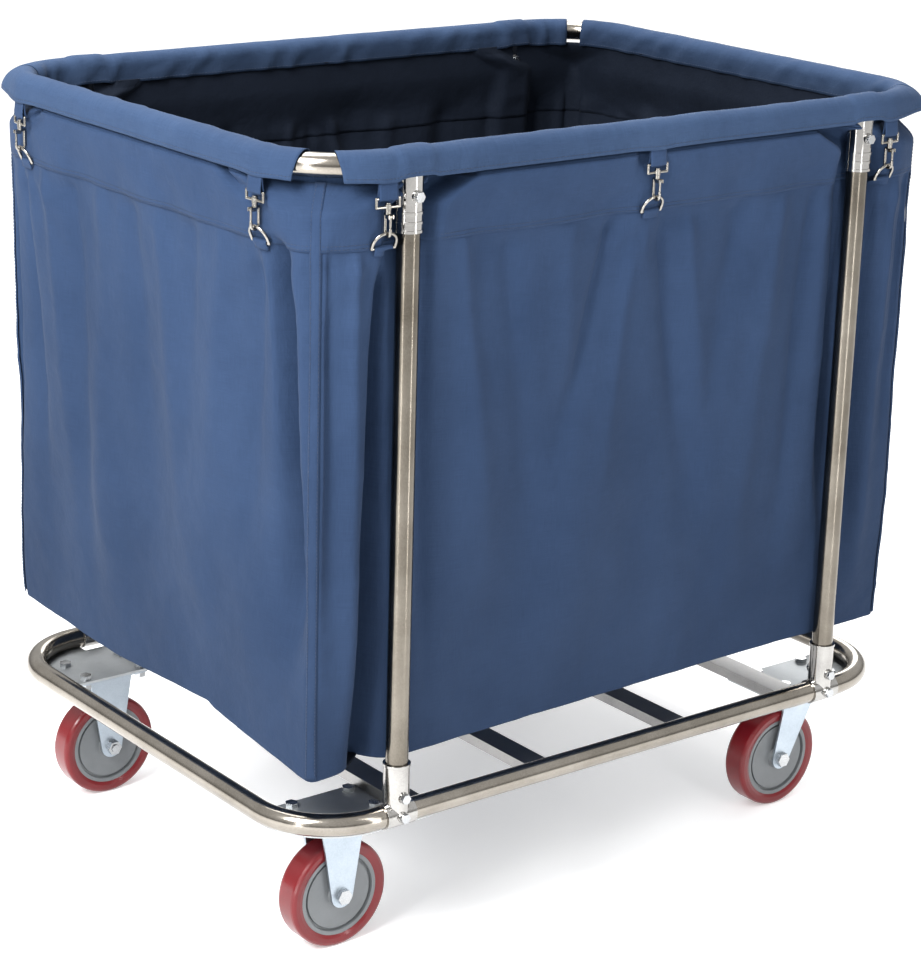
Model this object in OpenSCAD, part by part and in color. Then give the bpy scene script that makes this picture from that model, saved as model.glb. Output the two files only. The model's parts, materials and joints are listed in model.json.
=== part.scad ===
// Laundry cart: two tube rings joined by four posts, two fixed and two swivel
// casters, and a cloth bag whose rim flaps wrap the top ring and clip to D-rings.
// Origin: floor level, under the middle of the cart. +X towards the swivel casters,
// -Y towards the front long side, +Z up. Millimetres.

/* [Frame] */
// Length between the centrelines of the end rails
ring_l = 875; // [850:5:950]
// Width between the centrelines of the long rails
ring_w = 645; // [620:5:700]
// Bend radius of the ring corners, at the centreline
corner_r = 90; // [90:1:96]
// Height of the base ring's centreline
base_z = 175; // [175:1:178]
// Height of the top ring's centreline
top_z = 888; // [840:4:920]
// Outer diameter of the ring and post tubes
tube_d = 25; // [25:0.1:25.4]
// Wall of the ring and post tubes
tube_wall = 1.2; // [1:0.1:1.5]
// Distance of each post from the middle of its long rail
post_x = 320; // [315:1:322]
// Width of a crossbar
bar_w = 30; // [24:1:30]
// Height of a crossbar
bar_h = 12; // [10:1:12]
// Distance of the outer crossbars from the middle
outer_bar_x = 284; // [280:1:284]
// Distance of the inner crossbars from the middle
inner_bar_x = 106; // [90:2:130]
// Thickness of the corner plates and caster plates
plate_t = 3; // [3:0.5:3]

/* [Casters] */
// Wheel diameter
wheel_d = 125; // [115:1:125]
// Wheel width over the tread
wheel_w = 32; // [28:1:32]
// Caster centre, distance from the middle along the cart
caster_x = 350; // [346:1:352]
// Caster centre, distance from the middle across the cart
caster_y = 248; // [245:1:248]
// Swivel trail, from the king pin back to the axle
trail = 32; // [24:1:34]
// Bolt spacing of the caster plate along the cart
bolt_dx = 76; // [74:1:76]
// Bolt spacing of the caster plate across the cart
bolt_dy = 50; // [50:1:52]

/* [Bag] */
// Height of the underside of the bag
bag_z = 236; // [236:2:300]
// Thickness of the bag's walls and floor
bag_t = 3; // [2:0.5:3]
// Gap between a rail's centreline and the bag's outer face
bag_gap = 20.5; // [20.5:0.5:22]
// Height of the D-rings' straight bars below the top ring
d_ring_drop = 84.2; // [84:0.1:84.2]

/* [Hidden] */
$fn = 64;
CORNERS = [["front_left", -1, -1], ["rear_left", -1, 1], ["front_right", 1, -1], ["rear_right", 1, 1]];
FIXED = [CORNERS[0], CORNERS[1]];
SWIVEL = [CORNERS[2], CORNERS[3]];
// Hooks: name, turn of the side they are on, place along that side
HOOKS = [
    ["front_left", 0, -355], ["front_middle", 0, 0], ["front_right", 0, 355],
    ["rear_left", 180, 355], ["rear_middle", 180, 0], ["rear_right", 180, -355],
    ["left_front", -90, 240], ["left_rear", -90, -240],
    ["right_front", 90, -240], ["right_rear", 90, 240],
];

half_l = ring_l / 2;
half_w = ring_w / 2;
tube_r = tube_d / 2;
// Small gap where pieces sit against each other
fit = 0.1;
// Radial clearance of a turning pin
pin_clear = 0.05;

// Tee clamps
tee_bore = tube_r + 0.05;
tee_r = tube_r + 2;
saddle_l = 38;
lower_stem = 60;
upper_stem = 72;
tee_split = 1;
bead_h = 3;
bead_out = 0.8;
lower_bolts = [0, 23];
upper_bolts = [34];
lower_beads = [lower_stem - bead_h];
upper_beads = [50, 60, upper_stem - bead_h];
m6 = 3;
m6_hex = 10;
boss_r = 6.5;
boss_out = tube_r + 3.5;
boss_in = tube_r + 2.5;

// Plates and casters, from the ring downwards
plate_top = base_z - tube_r;
plate_under = plate_top - plate_t;
caster_top = plate_under;
caster_under = caster_top - plate_t;
plate_depth = 110;
wheel_r = wheel_d / 2;
m8 = 4;
m8_hex = 13;
m8_head = 5.3;
m8_nut = 6.5;
hole_clear = 0.25;
leg_t = 2.8;
foot_steps = 14;
leg_y = wheel_w / 2 + 1.8;
axle_r = 5;
axle_hex = 16;
race_r = 27;
race_h = 6.5;
race_gap = 0.3;
crown_top = caster_under - race_h - race_gap;
crown_h = 9;
hub_r = wheel_r - 13.5;

// Bag
bag_l = ring_l - 2 * bag_gap;
bag_w = ring_w - 2 * bag_gap;
bag_corner = 25;
bag_shoulder_z = top_z - 28;
bag_top_z = top_z - 4;
// Rim flaps: inner and outer radius round the ring, hem and inner edge below its centre
flap_in = tube_r + 2.5;
flap_out = tube_r + 4.7;
flap_hem = 17;
flap_inner_edge = 14;
flap_turn = 35;
flap_steps = 12;
// Height of the seam that joins a flap to the bag
seam_h = 10;

// Snap hooks, measured outwards from the rail's centreline
hook_n = 14;
eye_top = top_z - 32;
eye_bar = top_z - 41;
wire_r = 1.5;
eye_half = 13.5;
loop_r = 5;
loop_z = eye_bar - 25;
hook_wire = 1.6;
gate_pivot_z = eye_bar - 9;
d_wire = 1.75;
d_half = 13.5;
d_leg = 5;
d_top = loop_z - 1.5;
d_bar_z = top_z - d_ring_drop;
d_tilt = acos((d_top - d_bar_z) / (d_half + d_leg));
d_bar_n = hook_n - (d_half + d_leg) * sin(d_tilt);
strap_w = 23;

// ---------- shared shapes ----------
module hex_prism(across, h) {
    cylinder(d = across / cos(30), h = h, $fn = 6);
}

module rounded_rect(l, w, r) {
    square([l - 2 * r, w], center = true);
    square([l, w - 2 * r], center = true);
    for (sx = [-1, 1], sy = [-1, 1])
        translate([sx * (l / 2 - r), sy * (w / 2 - r)]) circle(r);
}

module rail_ring(r) {
    for (s = [-1, 1]) {
        translate([-(half_l - corner_r), s * half_w, 0])
            rotate([0, 90, 0]) cylinder(r = r, h = ring_l - 2 * corner_r);
        translate([s * half_l, -(half_w - corner_r), 0])
            rotate([-90, 0, 0]) cylinder(r = r, h = ring_w - 2 * corner_r);
    }
    for (c = [[1, 1, 0], [-1, 1, 90], [-1, -1, 180], [1, -1, 270]])
        translate([c[0] * (half_l - corner_r), c[1] * (half_w - corner_r), 0])
            rotate([0, 0, c[2]])
                rotate_extrude(angle = 90) translate([corner_r, 0]) circle(r);
}

// Puts a child, drawn for the front rail with -Y outwards, at a post's place
module at_post(c) {
    mirror([0, c[2] > 0 ? 1 : 0, 0]) translate([c[1] * post_x, -half_w, 0]) children();
}

module at_caster(c) {
    translate([c[1] * caster_x, c[2] * caster_y, 0]) children();
}

// Puts a child, drawn with -Y outwards and X along the rail, at a hook's place on the rim
module at_hook(h) {
    on_long = abs(h[1]) != 90;
    out = on_long ? half_w : half_l;
    run = (on_long ? half_l : half_w) - corner_r;
    turn = sign(h[2]) * asin(max(0, abs(h[2]) - run) / corner_r);
    rotate([0, 0, h[1]])
        translate([h[2], -(out - corner_r + corner_r * cos(turn)), 0])
            rotate([0, 0, turn]) children();
}

// ---------- frame ----------
module base_ring() {
    color("silver") difference() {
        translate([0, 0, base_z]) rail_ring(tube_r);
        translate([0, 0, base_z]) rail_ring(tube_r - tube_wall);
        for (c = CORNERS) at_post(c)
            translate([0, 0, base_z]) rotate([90, 0, 0]) cylinder(r = m6 + fit, h = 40, center = true);
    }
}

module top_ring() {
    color("silver") translate([0, 0, top_z]) difference() {
        rail_ring(tube_r);
        rail_ring(tube_r - tube_wall);
    }
}

module crossbars() {
    color("lightgray") difference() {
        for (x = [-outer_bar_x, -inner_bar_x, inner_bar_x, outer_bar_x])
            translate([x - bar_w / 2, -half_w, base_z - bar_h]) difference() {
                cube([bar_w, ring_w, bar_h]);
                translate([1.5, -1, 1.5]) cube([bar_w - 3, ring_w + 2, bar_h - 3]);
            }
        for (s = [-1, 1])
            translate([-half_l, s * half_w, base_z]) rotate([0, 90, 0]) cylinder(r = tube_r + 0.02, h = ring_l);
    }
}

module corner_plate(c) {
    inner_x = outer_bar_x - bar_w / 2 + 3;
    inner_y = half_w - plate_depth;
    arc_x = half_l - corner_r;
    arc_y = half_w - corner_r;
    color("gainsboro") mirror([c[1] < 0 ? 1 : 0, 0, 0]) mirror([0, c[2] < 0 ? 1 : 0, 0])
        translate([0, 0, plate_under]) difference() {
            linear_extrude(plate_t) difference() {
                union() {
                    translate([inner_x, inner_y]) square([arc_x - inner_x, half_w - inner_y]);
                    translate([inner_x, inner_y]) square([half_l - inner_x, arc_y - inner_y]);
                    intersection() {
                        translate([arc_x, arc_y]) circle(corner_r);
                        translate([arc_x - 1, arc_y - 1]) square(corner_r + 2);
                    }
                }
                translate([post_x - saddle_l / 2 - 2, half_w - tee_r - 2]) square([saddle_l + 4, 40]);
            }
            for (sx = [-1, 1], sy = [-1, 1])
                translate([caster_x + sx * bolt_dx / 2, caster_y + sy * bolt_dy / 2, -1])
                    cylinder(r = m8 + hole_clear, h = plate_t + 2);
        }
}

module post(c) {
    foot = base_z + tube_r + fit;
    head = top_z - tube_r - fit;
    color("silver") at_post(c) difference() {
        translate([0, 0, foot]) cylinder(r = tube_r, h = head - foot);
        translate([0, 0, foot - 1]) cylinder(r = tube_r - tube_wall, h = head - foot + 2);
        for (z = [base_z + lower_bolts[1], top_z - upper_bolts[0]])
            translate([0, 0, z]) rotate([90, 0, 0]) cylinder(r = m6 + fit, h = 40, center = true);
    }
}

// ---------- tee clamps ----------
// One half shell; the ring runs along X through the origin and the stem stands on +Z
module tee_half(stem, bolts, beads, outer) {
    boss = outer ? boss_out : boss_in;
    side = outer ? 1 : -1;
    difference() {
        union() {
            rotate([0, 90, 0]) cylinder(r = tee_r, h = saddle_l, center = true);
            cylinder(r = tee_r, h = stem);
            for (z = beads) translate([0, 0, z]) cylinder(r = tee_r + bead_out, h = bead_h);
            for (z = bolts) translate([0, 0, z]) rotate([90 * side, 0, 0]) cylinder(r = boss_r, h = boss);
        }
        rotate([0, 90, 0]) cylinder(r = tee_bore, h = saddle_l + 2, center = true);
        cylinder(r = tee_bore, h = stem + 2);
        for (z = bolts) translate([0, 0, z]) rotate([90, 0, 0]) cylinder(r = m6 + fit, h = 60, center = true);
        translate([-60, outer ? -tee_split / 2 : tee_split / 2 - 80, -60]) cube([120, 80, 160]);
    }
}

module tee_shells(outer) {
    for (c = CORNERS) at_post(c) {
        translate([0, 0, base_z]) tee_half(lower_stem, lower_bolts, lower_beads, outer);
        translate([0, 0, top_z]) mirror([0, 0, 1]) tee_half(upper_stem, upper_bolts, upper_beads, outer);
    }
}

module tee_outer_shells() {
    color("lightsteelblue") tee_shells(true);
}

module tee_inner_shells() {
    color("lightsteelblue") tee_shells(false);
}

function tee_bolt_heights() = [base_z + lower_bolts[0], base_z + lower_bolts[1], top_z - upper_bolts[0]];

module tee_bolts() {
    color("whitesmoke") for (c = CORNERS, z = tee_bolt_heights()) at_post(c) translate([0, 0, z]) {
        translate([0, -boss_out, 0]) rotate([90, 0, 0]) hex_prism(m6_hex, 4);
        translate([0, boss_in + 3.5, 0]) rotate([90, 0, 0]) cylinder(r = m6, h = boss_in + 3.5 + boss_out);
    }
}

module tee_nuts() {
    color("whitesmoke") for (c = CORNERS, z = tee_bolt_heights()) at_post(c)
        translate([0, boss_in, z]) rotate([-90, 0, 0]) difference() {
            hex_prism(m6_hex, 3);
            translate([0, 0, -1]) cylinder(r = m6 + pin_clear, h = 5);
        }
}

// ---------- casters ----------
module at_caster_bolts(c) {
    for (sx = [-1, 1], sy = [-1, 1])
        at_caster(c) translate([sx * bolt_dx / 2, sy * bolt_dy / 2, 0]) children();
}

module caster_bolts() {
    color("whitesmoke") for (c = CORNERS) at_caster_bolts(c) {
        translate([0, 0, plate_top]) hex_prism(m8_hex, m8_head);
        translate([0, 0, caster_under - m8_nut - 1]) cylinder(r = m8, h = plate_top - caster_under + m8_nut + 1);
    }
}

module caster_nuts() {
    color("whitesmoke") for (c = CORNERS) at_caster_bolts(c)
        translate([0, 0, caster_under - m8_nut]) difference() {
            hex_prism(m8_hex, m8_nut);
            translate([0, 0, -1]) cylinder(r = m8 + pin_clear, h = m8_nut + 2);
        }
}

module mounting_plate() {
    translate([0, 0, caster_under]) difference() {
        linear_extrude(plate_t) rounded_rect(95, 65, 6);
        for (sx = [-1, 1], sy = [-1, 1])
            translate([sx * bolt_dx / 2, sy * bolt_dy / 2, -1]) cylinder(r = m8 + hole_clear, h = plate_t + 2);
    }
}

// Leg outline: two top corners joined by straight edges to a round foot at the axle
module leg_outline(x0, x1, h, foot_r) {
    a0 = atan2(h, x0) + acos(foot_r / norm([x0, h]));
    a1 = atan2(h, x1) - acos(foot_r / norm([x1, h])) + 360;
    arc = [for (i = [0:foot_steps]) a0 + (a1 - a0) * i / foot_steps];
    polygon(concat([[x1, h], [x0, h]], [for (a = arc) foot_r * [cos(a), sin(a)]]));
}

// Both legs, round the axle at the origin; x0 and x1 are the top corners, h above the axle
module legs(x0, x1, h, foot_r) {
    difference() {
        for (s = [-1, 1])
            translate([0, s * leg_y + (s > 0 ? leg_t : 0), 0])
                rotate([90, 0, 0]) linear_extrude(leg_t) leg_outline(x0, x1, h, foot_r);
        rotate([90, 0, 0]) cylinder(r = axle_r + fit, h = 80, center = true);
    }
}

module fixed_bracket(c) {
    color("lightblue") at_caster(c) {
        mounting_plate();
        translate([0, 0, wheel_r]) legs(-29.5, 29.5, caster_under - wheel_r, 14);
    }
}

module swivel_plate(c) {
    color("lightblue") at_caster(c) difference() {
        union() {
            mounting_plate();
            translate([0, 0, caster_under - race_h]) cylinder(r = race_r, h = race_h);
        }
        translate([0, 0, caster_under - race_h - 1]) cylinder(r = axle_r + fit, h = race_h + plate_t + 2);
    }
}

module swivel_fork(c) {
    color("lightblue") at_caster(c) difference() {
        union() {
            translate([0, 0, crown_top - crown_h + 3]) cylinder(r = race_r + 2, h = crown_h - 3);
            translate([-30, -leg_y - leg_t, crown_top - crown_h]) cube([54, 2 * (leg_y + leg_t), 3]);
            translate([-trail, 0, wheel_r]) legs(trail - 29, trail + 23, crown_top - crown_h + 3 - wheel_r, 13);
        }
        translate([0, 0, crown_top - crown_h - 1]) cylinder(r = axle_r + pin_clear, h = crown_h + 2);
    }
}

module king_pins() {
    pin_foot = crown_top - crown_h - race_gap;
    color("gray") for (c = SWIVEL) at_caster(c) {
        translate([0, 0, pin_foot]) cylinder(r = axle_r, h = caster_top - fit - pin_foot);
        translate([0, 0, pin_foot - 6]) cylinder(r = 8, h = 6);
    }
}

module at_axle(c) {
    translate([c[1] > 0 ? -trail : 0, 0, 0]) at_caster(c) translate([0, 0, wheel_r])
        mirror([0, c[2] > 0 ? 1 : 0, 0]) children();
}

module tread(c) {
    w = wheel_w / 2;
    color("firebrick") at_axle(c) rotate([90, 0, 0]) rotate_extrude()
        polygon([
            [hub_r, -w + 2], [hub_r + 4, -w + 0.5], [wheel_r - 4.5, -w], [wheel_r - 2, -w + 1],
            [wheel_r - 0.5, -w + 3], [wheel_r, -w + 5.5], [wheel_r, w - 5.5], [wheel_r - 0.5, w - 3],
            [wheel_r - 2, w - 1], [wheel_r - 4.5, w], [hub_r + 4, w - 0.5], [hub_r, w - 2],
        ]);
}

module hub(c) {
    w = wheel_w / 2 - 2;
    boss = leg_y - 0.5;
    color("darkgray") at_axle(c) rotate([90, 0, 0]) rotate_extrude()
        polygon([
            [axle_r + pin_clear, -boss], [13, -boss], [14, -w + 2], [hub_r - 8, -w + 1.5],
            [hub_r - 7.5, -w + 4], [hub_r - 5, -w + 4], [hub_r - 4.5, -w], [hub_r, -w],
            [hub_r, w], [hub_r - 4.5, w], [hub_r - 5, w - 4], [hub_r - 7.5, w - 4],
            [hub_r - 8, w - 1.5], [14, w - 2], [13, boss], [axle_r + pin_clear, boss],
        ]);
}

module axle_bolt(c) {
    grip = leg_y + leg_t;
    color("whitesmoke") at_axle(c) {
        translate([0, -grip, 0]) rotate([90, 0, 0]) hex_prism(axle_hex, 6);
        translate([0, grip + 10, 0]) rotate([90, 0, 0]) cylinder(r = axle_r, h = 2 * grip + 10);
    }
}

module axle_nut(c) {
    color("whitesmoke") at_axle(c) translate([0, leg_y + leg_t, 0]) rotate([-90, 0, 0]) difference() {
        hex_prism(axle_hex, 8);
        translate([0, 0, -1]) cylinder(r = axle_r + pin_clear, h = 10);
    }
}

module fixed_axle_bolts() {
    for (c = FIXED) axle_bolt(c);
}

module fixed_axle_nuts() {
    for (c = FIXED) axle_nut(c);
}

// ---------- bag ----------
module bag_block(l, w, r, z0, z1) {
    translate([0, 0, z0]) linear_extrude(z1 - z0) rounded_rect(l, w, r);
}

module bag_shell() {
    top_r = corner_r - bag_gap;
    in_l = bag_l - 2 * bag_t;
    in_w = bag_w - 2 * bag_t;
    color("steelblue") difference() {
        union() {
            bag_block(bag_l, bag_w, bag_corner, bag_z, bag_shoulder_z);
            bag_block(bag_l, bag_w, top_r, bag_shoulder_z - bag_t, bag_top_z);
        }
        bag_block(in_l, in_w, bag_corner - bag_t, bag_z + bag_t, bag_shoulder_z - bag_t);
        bag_block(in_l, in_w, top_r - bag_t, bag_z + bag_t, bag_top_z + 1);
    }
}

// Points of a half circle over the ring, from the +X side to the -X side
function half_circle(r) = [for (i = [0:flap_steps]) let (a = 180 * i / flap_steps)
    [round(100 * r * cos(a)) / 100, round(100 * r * sin(a)) / 100]];

// Section of a flap: over the ring, an outer leg to the hem, an inner leg sewn to the bag
module flap_section() {
    over_ring = half_circle(flap_out);
    under = half_circle(flap_in);
    polygon(concat(
        [[flap_out, -flap_hem]],
        over_ring,
        [
            [-flap_out, seam_h - flap_inner_edge], [-bag_gap, seam_h - flap_inner_edge],
            [-bag_gap, -flap_inner_edge], [-flap_in, -flap_inner_edge],
        ],
        [for (i = [flap_steps:-1:0]) under[i]],
        [[flap_in, -flap_hem]]
    ));
}

// One flap along a straight run and part of both corner bends; -Y is outwards
module flap(run, out) {
    translate([-run, -out, 0]) rotate([90, 0, 90]) linear_extrude(2 * run) mirror([1, 0]) flap_section();
    for (s = [-1, 1])
        mirror([s < 0 ? 1 : 0, 0, 0]) translate([run, -out + corner_r, 0]) rotate([0, 0, -90])
            rotate_extrude(angle = flap_turn) translate([corner_r, 0]) flap_section();
}

module rim_flaps() {
    color("cornflowerblue") translate([0, 0, top_z]) for (a = [0, 180]) {
        rotate([0, 0, a]) flap(half_l - corner_r, half_w);
        rotate([0, 0, a + 90]) flap(half_w - corner_r, half_l);
    }
}

// ---------- snap hooks and D-rings ----------
module wire_x(r, l) {
    rotate([0, 90, 0]) cylinder(r = r, h = l, center = true);
}

module hook_straps() {
    color("royalblue") for (h = HOOKS) at_hook(h) difference() {
        union() {
            translate([-strap_w / 2, -hook_n - 0.2, eye_top]) cube([strap_w, 1.8, 20]);
            translate([0, -hook_n, eye_top]) wire_x(wire_r + 1.7, strap_w);
        }
        translate([0, -hook_n, eye_top]) wire_x(wire_r + fit, strap_w + 2);
    }
}

module hook_eyes() {
    color("silver") for (h = HOOKS) at_hook(h) translate([0, -hook_n, 0]) difference() {
        union() {
            for (z = [eye_top, eye_bar]) translate([0, 0, z]) wire_x(wire_r, 2 * eye_half);
            for (s = [-1, 1]) translate([s * eye_half, 0, eye_bar]) {
                cylinder(r = wire_r, h = eye_top - eye_bar);
                sphere(wire_r, $fn = 24);
                translate([0, 0, eye_top - eye_bar]) sphere(wire_r, $fn = 24);
            }
            translate([0, 0, eye_bar - 3]) cylinder(r = 3.4, h = 6);
        }
        translate([0, 0, eye_bar - 4]) cylinder(r = hook_wire + fit, h = 8);
    }
}

module hook_body() {
    stem_top = eye_bar + 3 + fit;
    shoulder_z = gate_pivot_z + 1.5;
    translate([0, 0, shoulder_z]) cylinder(r = hook_wire, h = stem_top - shoulder_z + 1);
    translate([0, 0, stem_top]) cylinder(r = 2.6, h = 1.4);
    translate([0, 0, shoulder_z - 1.5]) cylinder(r = 3, h = eye_bar - 3 - fit - shoulder_z + 1.5);
    // Spine on the bag's side, round bottom, nose on the outer side
    translate([0, loop_r, loop_z]) cylinder(r = hook_wire, h = shoulder_z - loop_z);
    translate([0, loop_r, shoulder_z]) sphere(hook_wire, $fn = 24);
    translate([0, loop_r, shoulder_z]) rotate([90, 0, 0]) cylinder(r = hook_wire, h = loop_r + 2);
    translate([0, 0, loop_z]) rotate([0, 90, 0]) rotate([0, 0, -90])
        rotate_extrude(angle = 180) translate([loop_r, 0]) circle(hook_wire);
    translate([0, -loop_r, loop_z]) cylinder(r = hook_wire, h = 3);
    translate([0, -loop_r, loop_z + 3]) sphere(hook_wire, $fn = 24);
    // Two ears for the gate's pin
    for (s = [-1, 1]) difference() {
        translate([s * 2.5 - 0.6, -loop_r - 2, gate_pivot_z - 2]) cube([1.2, loop_r + 2, 4]);
        translate([0, -loop_r, gate_pivot_z]) wire_x(0.8 + fit, 10);
    }
}

module hook_bodies() {
    color("silver") for (h = HOOKS) at_hook(h) translate([0, -hook_n, 0]) hook_body();
}

module hook_pins() {
    color("gray") for (h = HOOKS) at_hook(h)
        translate([0, -hook_n - loop_r, gate_pivot_z]) wire_x(0.8, 6.6);
}

module hook_gate(h) {
    foot = loop_z + 3 + hook_wire + 0.2;
    color("silver") at_hook(h) translate([0, -hook_n - loop_r, 0]) difference() {
        union() {
            translate([0, 0, gate_pivot_z]) wire_x(1.8, 3.2);
            translate([0, 0, foot]) cylinder(r = 1.3, h = gate_pivot_z - foot);
        }
        translate([0, 0, gate_pivot_z]) wire_x(0.8 + pin_clear, 5);
    }
}

module d_rings() {
    color("silver") for (h = HOOKS) at_hook(h) translate([0, -d_bar_n, d_bar_z]) rotate([d_tilt, 0, 0]) {
        wire_x(d_wire, 2 * d_half);
        for (s = [-1, 1]) translate([s * d_half, 0, 0]) {
            sphere(d_wire, $fn = 24);
            cylinder(r = d_wire, h = d_leg);
        }
        translate([0, 0, d_leg]) rotate([90, 0, 0])
            rotate_extrude(angle = 180) translate([d_half, 0]) circle(d_wire);
    }
}

module d_ring_tabs() {
    color("royalblue") difference() {
        for (h = HOOKS) at_hook(h) translate([0, -d_bar_n, d_bar_z]) difference() {
            union() {
                wire_x(d_wire + 1.4, 22);
                translate([-11, 0, -1]) cube([22, 50, 2]);
            }
            wire_x(d_wire + fit, 24);
        }
        bag_block(bag_l, bag_w, bag_corner, bag_z, bag_shoulder_z);
    }
}

// ---------- the parts ----------
base_ring();
top_ring();
crossbars();
for (c = CORNERS) {
    corner_plate(c);
    post(c);
    tread(c);
    hub(c);
}
tee_outer_shells();
tee_inner_shells();
tee_bolts();
tee_nuts();
caster_bolts();
caster_nuts();
for (c = FIXED) {
    fixed_bracket(c);
}
for (c = SWIVEL) {
    swivel_plate(c);
    swivel_fork(c);
    axle_bolt(c);
    axle_nut(c);
}
king_pins();
fixed_axle_bolts();
fixed_axle_nuts();
bag_shell();
rim_flaps();
hook_straps();
hook_eyes();
hook_bodies();
hook_pins();
d_rings();
d_ring_tabs();
for (h = HOOKS) {
    hook_gate(h);
}
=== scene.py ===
"""Looks of the laundry cart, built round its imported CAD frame. Metres, in the row frame.

The metal, the wheels and the hooks are the CAD nodes with procedural materials. The bag, its
band, its four rim flaps, the tabs, the seams and the stitching are built here as cloth.
"""

import json
import math

import bpy
import numpy as np
from mathutils import Matrix, Vector, noise


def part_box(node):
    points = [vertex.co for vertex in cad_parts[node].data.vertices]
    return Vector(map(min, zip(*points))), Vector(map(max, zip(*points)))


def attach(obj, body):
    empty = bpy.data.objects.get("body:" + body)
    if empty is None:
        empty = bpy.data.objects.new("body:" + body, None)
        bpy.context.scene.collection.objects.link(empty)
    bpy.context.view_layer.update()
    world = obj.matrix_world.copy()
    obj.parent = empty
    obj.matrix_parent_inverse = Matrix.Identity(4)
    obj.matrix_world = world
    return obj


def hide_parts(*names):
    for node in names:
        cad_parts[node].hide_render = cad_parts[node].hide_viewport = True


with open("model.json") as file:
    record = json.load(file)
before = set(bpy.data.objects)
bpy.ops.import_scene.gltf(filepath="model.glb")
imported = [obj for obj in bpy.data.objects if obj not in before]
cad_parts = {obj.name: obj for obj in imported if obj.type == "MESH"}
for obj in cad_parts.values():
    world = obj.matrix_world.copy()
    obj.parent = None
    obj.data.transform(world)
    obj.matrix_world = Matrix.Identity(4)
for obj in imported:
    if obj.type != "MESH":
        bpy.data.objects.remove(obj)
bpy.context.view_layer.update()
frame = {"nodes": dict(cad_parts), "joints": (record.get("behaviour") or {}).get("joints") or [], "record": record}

MM = 0.001

# ---------- facts read from the frame ----------
ring_lo, ring_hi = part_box("top_ring")
TUBE_R = (ring_hi.z - ring_lo.z) / 2
RING_Z = (ring_hi.z + ring_lo.z) / 2
HALF_L = ring_hi.x - TUBE_R
HALF_W = ring_hi.y - TUBE_R
BAG_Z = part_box("bag_shell")[0].z
POST_X = sum(corner.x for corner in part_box("front_right_post")) / 2
# Facts that the frame doesn't say, as in the CAD source
BEND = 90 * MM
HOOK_OUT = 19 * MM
EYE_BAR_Z = RING_Z - 32 * MM
D_BAR_Z = RING_Z - 84.2 * MM
D_BAR_OUT = 6 * MM
D_BAR_R = 1.75 * MM
SADDLE = 38 * MM
TEE_BOLT_Z = RING_Z - 34 * MM

# ---------- the bag's own sizes ----------
WALL_TOP = RING_Z - TUBE_R - 1.7 * MM
HEM_Z = RING_Z - 16 * MM
BAND_Z = RING_Z - 85 * MM
CLOTH = 1.0 * MM
FOOT_CORNER = 26 * MM
FLAP_R = TUBE_R + 1.5 * MM
FLOOR_SAG = 5 * MM
INNER_LEG = 18 * MM
COLLAR_Z = RING_Z - 110 * MM
QUARTER = HALF_L + HALF_W
ROUND = 4 * QUARTER

# Sides: turn, half length along the side, distance of the rail from the middle, place round the rim
SIDES = {
    "front": (0, HALF_L, HALF_W, 0),
    "right": (90, HALF_W, HALF_L, QUARTER),
    "rear": (180, HALF_L, HALF_W, 2 * QUARTER),
    "left": (-90, HALF_W, HALF_L, 3 * QUARTER),
}


# ---------- small helpers ----------
def smooth(x, start, end):
    """0 before start, 1 after end, and a smooth step between them."""
    t = np.clip((x - start) / (end - start), 0, 1)
    return t * t * (3 - 2 * t)


def bump(x, width):
    return np.exp(-((x / width) ** 2))


def along_rim(u, place):
    """Signed distance round the rim from place to u."""
    return (u - place + ROUND / 2) % ROUND - ROUND / 2


def near_posts(u, reach, blur):
    """1 within reach of a post's place round the rim, and 0 beyond it."""
    return sum(smooth(reach - np.abs(along_rim(u, post)), 0, blur) for post in POSTS_U)


def rough(points, scale, seed):
    """Smooth noise from -1 to 1 at each point, with features about scale across."""
    flat = points.reshape(-1, 3) / scale + seed
    values = [noise.noise(Vector(p)) for p in flat]
    return np.array(values).reshape(points.shape[:-1])


class Columns:
    """Upright lines at places u round the rim. p runs -1 to 1 along a side's straight run, and a is the
    turn in a corner, whose half takes up the length called bend in u."""

    def __init__(self, u, bend):
        self.u = np.asarray(u, float)
        index = np.round(self.u / QUARTER).astype(int) % 4
        self.stand_on(index)
        # A side's share of u ends at its own corners, which aren't halfway to the next side's middle
        over = np.abs(self.t) > self.along
        self.stand_on(np.where(over, (index + np.sign(self.t).astype(int)) % 4, index))
        straight = self.along - bend
        self.p = np.clip(self.t / straight, -1, 1)
        self.a = np.sign(self.t) * np.clip((np.abs(self.t) - straight) / bend, 0, 1) * math.radians(45)

    def stand_on(self, index):
        """Takes each column's facts from the side with this index."""
        degrees, self.along, self.out, place = np.array(list(SIDES.values()))[index].T
        self.turn = np.radians(degrees)
        self.t = along_rim(self.u, place)

    def at(self, corner, n, z, a=None):
        """Points n outside an outline that has this corner radius at the rails, at height z."""
        a = self.a if a is None else a
        t = self.p * (self.along - corner) + (corner + n) * np.sin(a)
        out = self.out - corner + (corner + n) * np.cos(a)
        x = t * np.cos(self.turn) + out * np.sin(self.turn)
        y = t * np.sin(self.turn) - out * np.cos(self.turn)
        return np.stack(np.broadcast_arrays(x, y, z), axis=-1)


def spread(start, end, step):
    return np.linspace(start, end, max(2, round((end - start) / step) + 1))


def whole_rim(step, corner_step):
    """Places round the whole rim, closer together in the corners."""
    runs = []
    for _, along, _, place in SIDES.values():
        straight = along - FOOT_CORNER
        runs.append(place + spread(-along, -straight, corner_step)[:-1])
        runs.append(place + spread(-straight, straight, step)[:-1])
        runs.append(place + spread(straight, along, corner_step)[:-1])
    return np.concatenate(runs)


def wall_columns():
    """The columns that the bag's shell, lining and band share, so that none cuts through another."""
    return Columns(whole_rim(4 * MM, 2.2 * MM), FOOT_CORNER)


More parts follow.
